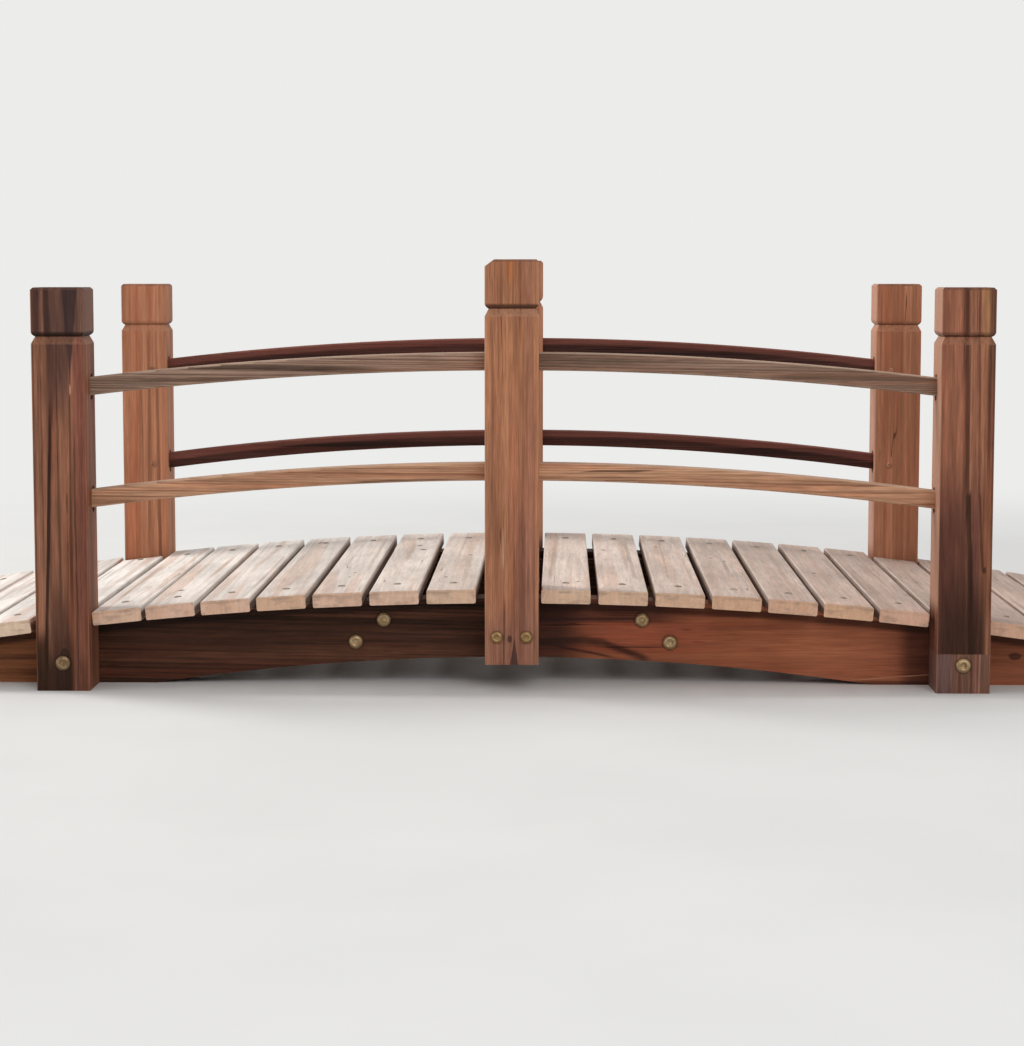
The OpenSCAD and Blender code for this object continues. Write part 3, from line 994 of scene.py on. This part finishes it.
def put_object(name, data):
    thing = bpy.data.objects.new(name, data)
    bpy.context.scene.collection.objects.link(thing)
    return thing


def hardware(name, rings, places, material, segments=48, size=1.0):
    """One mesh of many equal fasteners, each at its own turn."""
    rng = draws_for(name)
    bm = bmesh.new()
    for point, outward in places:
        matrix = on_face(point, outward, rng.uniform(0, math.tau)) @ Matrix.Scale(size, 4)
        lathe(bm, rings, segments, matrix)
    bmesh.ops.recalc_face_normals(bm, faces=bm.faces)
    mesh = bpy.data.meshes.new(name)
    bm.to_mesh(mesh)
    bm.free()
    piece = put_object(name, mesh)
    mesh.materials.append(material)
    mesh.shade_smooth()
    mesh.set_sharp_from_angle(angle=math.radians(40))
    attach(piece, "root")


def bolt_places(y_sign):
    """The bolts of one side: through each end post, through the middle post and at the splice."""
    post_face, stringer_face = y_sign * POST_FACE_Y, y_sign * POST_INNER_Y
    places = {
        "left": [(-POST_X, post_face, END_BOLT_Z * MM)],
        "right": [(POST_X, post_face, END_BOLT_Z * MM)],
        "mid": [(x_sign * MID_BOLT_X * MM, post_face, MID_BOLT_Z * MM) for x_sign in (-1, 1)],
        "splice": [(x_sign * x * MM, stringer_face, z * MM) for x_sign in (-1, 1) for x, z in SPLICE_BOLTS],
    }
    return {group: [Vector(place) for place in members] for group, members in places.items()}


def rail_screw_places(y_sign):
    """Screws through the deck-side faces of the posts into the rails' tenons."""
    inset = RAIL_SCREW_INSET * MM
    places = []
    for level in ("upper", "lower"):
        low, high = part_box(f"{level}_rail_front_right")
        near_z = high.z - RAIL_HEIGHT / 2 * MM
        far_z = low.z + (RAIL_HEIGHT / 2 - RAIL_SCREW_DROP) * MM
        for x_sign in (-1, 1):
            places.append((x_sign * (POST_SIDE / 2 - inset), y_sign * POST_INNER_Y, near_z))
            places.append((x_sign * (POST_X - POST_SIDE / 2 + inset), y_sign * POST_INNER_Y, far_z))
    return [Vector(place) for place in places]


def make_hardware():
    zinc = metal("aged_yellow_zinc", (178, 152, 116), (142, 116, 82), 0.38)
    dull_zinc = metal("dull_zinc", (152, 127, 95), (114, 91, 66), 0.45)
    green_zinc = metal("green_zinc", (164, 134, 90), (128, 102, 66), 0.45)
    copper = metal("pale_copper_plate", (212, 176, 152), (176, 136, 110), 0.42)
    dull_copper = metal("dull_copper_plate", (170, 122, 96), (132, 90, 68), 0.5)
    rail_screw_metals = {"front": copper, "rear": dull_copper}
    steel = metal("grey_zinc", (166, 156, 142), (128, 116, 102), 0.45)
    bolt_metals = {"left": dull_zinc, "right": zinc, "mid": green_zinc, "splice": zinc}
    for side, y_sign in SIDES.items():
        outward = Vector((0, y_sign, 0))
        backs = []
        for group, bolts in bolt_places(y_sign).items():
            size = MID_BOLT_SIZE if group == "mid" else 1.0
            hardware(f"bolts_{group}_{side}", BOLT_HEAD, [(p, outward) for p in bolts],
                     bolt_metals[group], size=size)
            y = SPLICE_INNER_Y if group in ("mid", "splice") else POST_INNER_Y - STRINGER_THICK
            backs += [(Vector((p.x, y_sign * y, p.z)), -outward) for p in bolts]
        hardware(f"nuts_{side}", NUT, backs, zinc)
        rail_screws = [(p, -outward) for p in rail_screw_places(y_sign)]
        hardware(f"rail_screws_{side}", RAIL_SCREW, rail_screws, rail_screw_metals[side],
                 size=RAIL_SCREW_SIZE)
    for index, side in enumerate(SIDES):
        places = []
        for number in range(1, BOARD_COUNT + 1):
            spots, up = screw_places(number)
            places.append((spots[index], up))
        hardware(f"deck_screws_{side}", DECK_SCREW, places, steel, segments=32)


# Studio

# The photograph's camera: its place in metres, its lens and sensor in millimetres and its turn in degrees
CAMERA_PLACE = (0.0567, -3.256, 0.4888)
CAMERA_LENS, SENSOR_WIDTH = 87.98, 36.0
CAMERA_DOWN, CAMERA_LEFT = 5.71, 1.105
# Lamps, turned to the middle of the bridge: place and diameter in metres, power in watts and colour
LAMP_TARGET = (0, 0, 0.25)
WHITE, WARM = (1, 1, 1), (1.0, 0.98, 0.95)
LAMPS = {
    "key": ((-3.5, 1.2, 3.95), 1.9, 116.0, WARM),
    "top": ((0.3, 0.6, 3.8), 2.0, 21.0, WHITE),
    "fill": ((1.2, -3.8, 2.2), 2.5, 44.0, WHITE),
    "left": ((-5.7, -1.35, 1.8), 2.7, 58.0, WARM),
}
SKY_STRENGTH = 0.45
PAPER_DARK, PAPER_LIGHT = (0.77, 0.77, 0.76, 1), (0.80, 0.80, 0.79, 1)
BACKDROP = (0.84, 0.84, 0.83, 1.0)
# The floor, and the distances between which it fades into the backdrop, in metres
FLOOR_RADIUS = 60.0
FADE_FROM, FADE_TO = 1.2, 2.7


def make_camera():
    optics = bpy.data.cameras.new("camera")
    optics.sensor_width = SENSOR_WIDTH
    optics.lens = CAMERA_LENS
    camera = put_object("camera", optics)
    camera.location = CAMERA_PLACE
    camera.rotation_euler = Euler((math.radians(90 - CAMERA_DOWN), 0, math.radians(CAMERA_LEFT)))
    bpy.context.scene.camera = camera


def make_floor():
    """A pale paper floor that fades into the backdrop round the bridge."""
    bm = bmesh.new()
    bmesh.ops.create_circle(bm, cap_ends=True, segments=96, radius=FLOOR_RADIUS)
    mesh = bpy.data.meshes.new("floor")
    bm.to_mesh(mesh)
    bm.free()
    floor = put_object("floor", mesh)
    g = Graph(bpy.data.materials.new("floor_paper"))
    where = g.where()
    mottle = g.noise(g.vector("SCALE", where, scale=3.0), detail=3.0)
    paper = g.mix(g.ramp(mottle, 0.3, 0.7), PAPER_DARK, PAPER_LIGHT)
    matt = {"Base Color": paper, "Roughness": 0.9, "Specular IOR Level": SHINE}
    shader = g.add("BsdfPrincipled", matt)
    glow = g.add("Emission", {"Color": BACKDROP, "Strength": 1.0})
    far = g.times(g.ramp(g.vector("LENGTH", where), FADE_FROM, FADE_TO), g.seen())
    blend = g.add("MixShader", {0: far, 1: shader.outputs[0], 2: glow.outputs[0]})
    mesh.materials.append(g.surface(blend.outputs[0]))


def make_backdrop():
    """Plain light from all round, and a pale backdrop for the eye and for reflections."""
    world = bpy.data.worlds.new("studio")
    bpy.context.scene.world = world
    g = Graph(world)
    sky = g.add("Background", {"Color": (1, 1, 1, 1), "Strength": SKY_STRENGTH})
    shown = g.add("Background", {"Color": BACKDROP})
    choice = g.add("MixShader", {0: g.seen(), 1: sky.outputs[0], 2: shown.outputs[0]})
    g.add("OutputWorld", {"Surface": choice.outputs[0]})


def make_lights():
    for name, (place, size, power, colour) in LAMPS.items():
        light = bpy.data.lights.new(name, "AREA")
        light.shape = "DISK"
        light.size = size
        light.energy = power
        light.color = colour
        lamp = put_object(name, light)
        lamp.location = place
        lamp.rotation_euler = (Vector(LAMP_TARGET) - Vector(place)).to_track_quat("-Z", "Y").to_euler()
    bpy.context.scene.view_settings.view_transform = "Standard"


make_camera()
dress_posts()
dress_stringers()
dress_rails()
dress_boards()
make_hardware()
make_floor()
make_backdrop()
make_lights()
